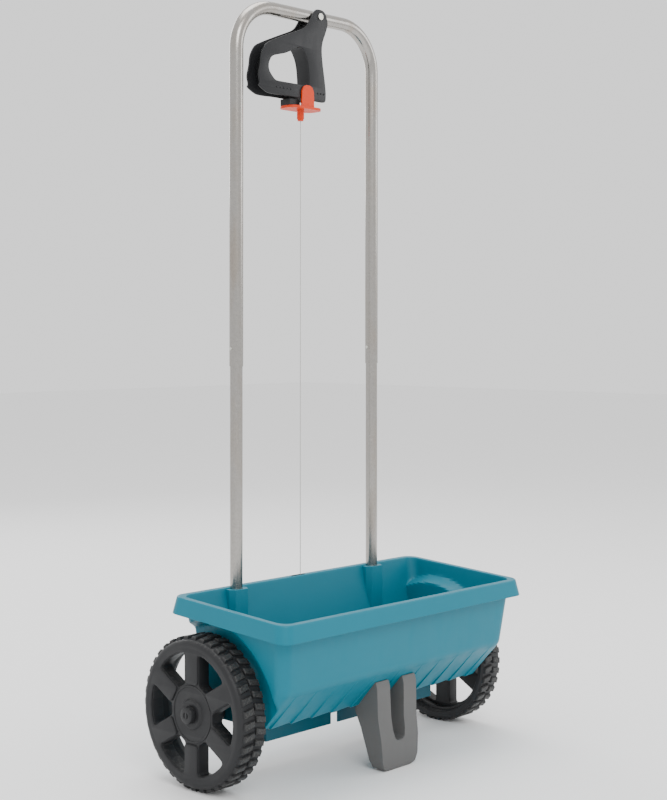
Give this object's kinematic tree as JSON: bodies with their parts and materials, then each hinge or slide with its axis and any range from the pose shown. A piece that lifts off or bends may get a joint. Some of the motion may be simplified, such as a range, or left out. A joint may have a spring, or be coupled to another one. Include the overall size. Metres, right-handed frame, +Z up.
{
  "type": "drop spreader",
  "caption": "Two-wheeled walk-behind drop spreader with an open tub, a forked front foot, a tube handle and a squeeze grip that opens the outlet shutter by a cord.",
  "frame": {"origin": "on the ground, at the middle of the machine's box", "axes": "+X along the axle, +Y towards the person who pushes it, +Z up"},
  "size_m": [0.6292, 0.2916, 1.219],
  "materials": {
    "hopper_plastic": "moulded polypropylene with a satin skin",
    "shutter_plastic": "moulded plastic",
    "foot_plastic": "moulded plastic",
    "wheel_plastic": "moulded plastic",
    "cap_plastic": "moulded plastic",
    "grip_plastic": "moulded plastic",
    "clip_plastic": "moulded plastic",
    "roller_plastic": "moulded plastic",
    "bush_nylon": "natural nylon",
    "guide_plastic": "moulded plastic",
    "tube_steel": "bright zinc plated tube",
    "axle_steel": "drawn steel",
    "fastener_steel": "zinc plated",
    "spring_steel": "spring wire",
    "cord_fibre": "twisted polyester cord"
  },
  "bodies": {
    "chassis": {"hopper": "hopper_plastic", "outlet_shoe": "hopper_plastic", "shoe_screws": "fastener_steel", "foot": "foot_plastic", "foot_screws": "fastener_steel", "left_axle_bush": "bush_nylon", "right_axle_bush": "bush_nylon", "shutter_hinge_pin": "axle_steel", "shutter_spring": "spring_steel", "left_lower_tube": "tube_steel", "right_lower_tube": "tube_steel", "joint_buttons": "fastener_steel", "socket_screws": "fastener_steel", "upper_handle": "tube_steel", "grip_pivot_pin": "fastener_steel", "grip_pivot_nut": "fastener_steel", "cord_guide": "guide_plastic"},
    "drive_axle": {"axle": "axle_steel", "drive_pin": "axle_steel", "metering_roller": "roller_plastic", "axle_washers": "fastener_steel", "left_wheel": "wheel_plastic", "left_hub_cap": "cap_plastic", "right_hub_cap": "cap_plastic"},
    "free_wheel": {"right_wheel": "wheel_plastic"},
    "shutter": {"shutter_flap": "shutter_plastic"},
    "grip": {"grip_lever": "grip_plastic"},
    "dose_clip": {"dose_clip": "clip_plastic", "clip_block": "grip_plastic"},
    "cord": {"pull_cord": "cord_fibre", "cord_crimp": "fastener_steel"}
  },
  "joints": [
    {"name": "drive_wheel_spin", "type": "hinge", "parent": "chassis", "child": "drive_axle", "pos_m": [0, 0.03084, 0.115], "axis": [1, 0, 0], "continuous": true},
    {"name": "free_wheel_spin", "type": "hinge", "parent": "chassis", "child": "free_wheel", "pos_m": [0.28, 0.03084, 0.115], "axis": [1, 0, 0], "continuous": true},
    {"name": "grip_squeeze", "type": "hinge", "parent": "chassis", "child": "grip", "pos_m": [0.016, 0.08954, 1.206], "axis": [0, 1, 0], "range_deg": [0, 22]},
    {"name": "shutter_open", "type": "hinge", "parent": "chassis", "child": "shutter", "pos_m": [0, 0.04884, 0.0875], "axis": [1, 0, 0], "range_deg": [0, 29.73], "stiffness_Nm_per_rad": 0.2, "springref_deg": -20.05},
    {"name": "dose_slide", "type": "slide", "parent": "grip", "child": "dose_clip", "axis": [1, 0, 0], "range_m": [-0.006, 0.006]},
    {"name": "cord_sway", "type": "hinge", "parent": "dose_clip", "child": "cord", "pos_m": [-0.0154, 0.08954, 1.031], "axis": [0, 1, 0], "range_deg": [-26.06, 0]}
  ],
  "couplings": [
    {"joint": "shutter_open", "follows": "grip_squeeze", "ratio": 1.3424},
    {"joint": "cord_sway", "follows": "grip_squeeze", "ratio": -1.1754}
  ]
}
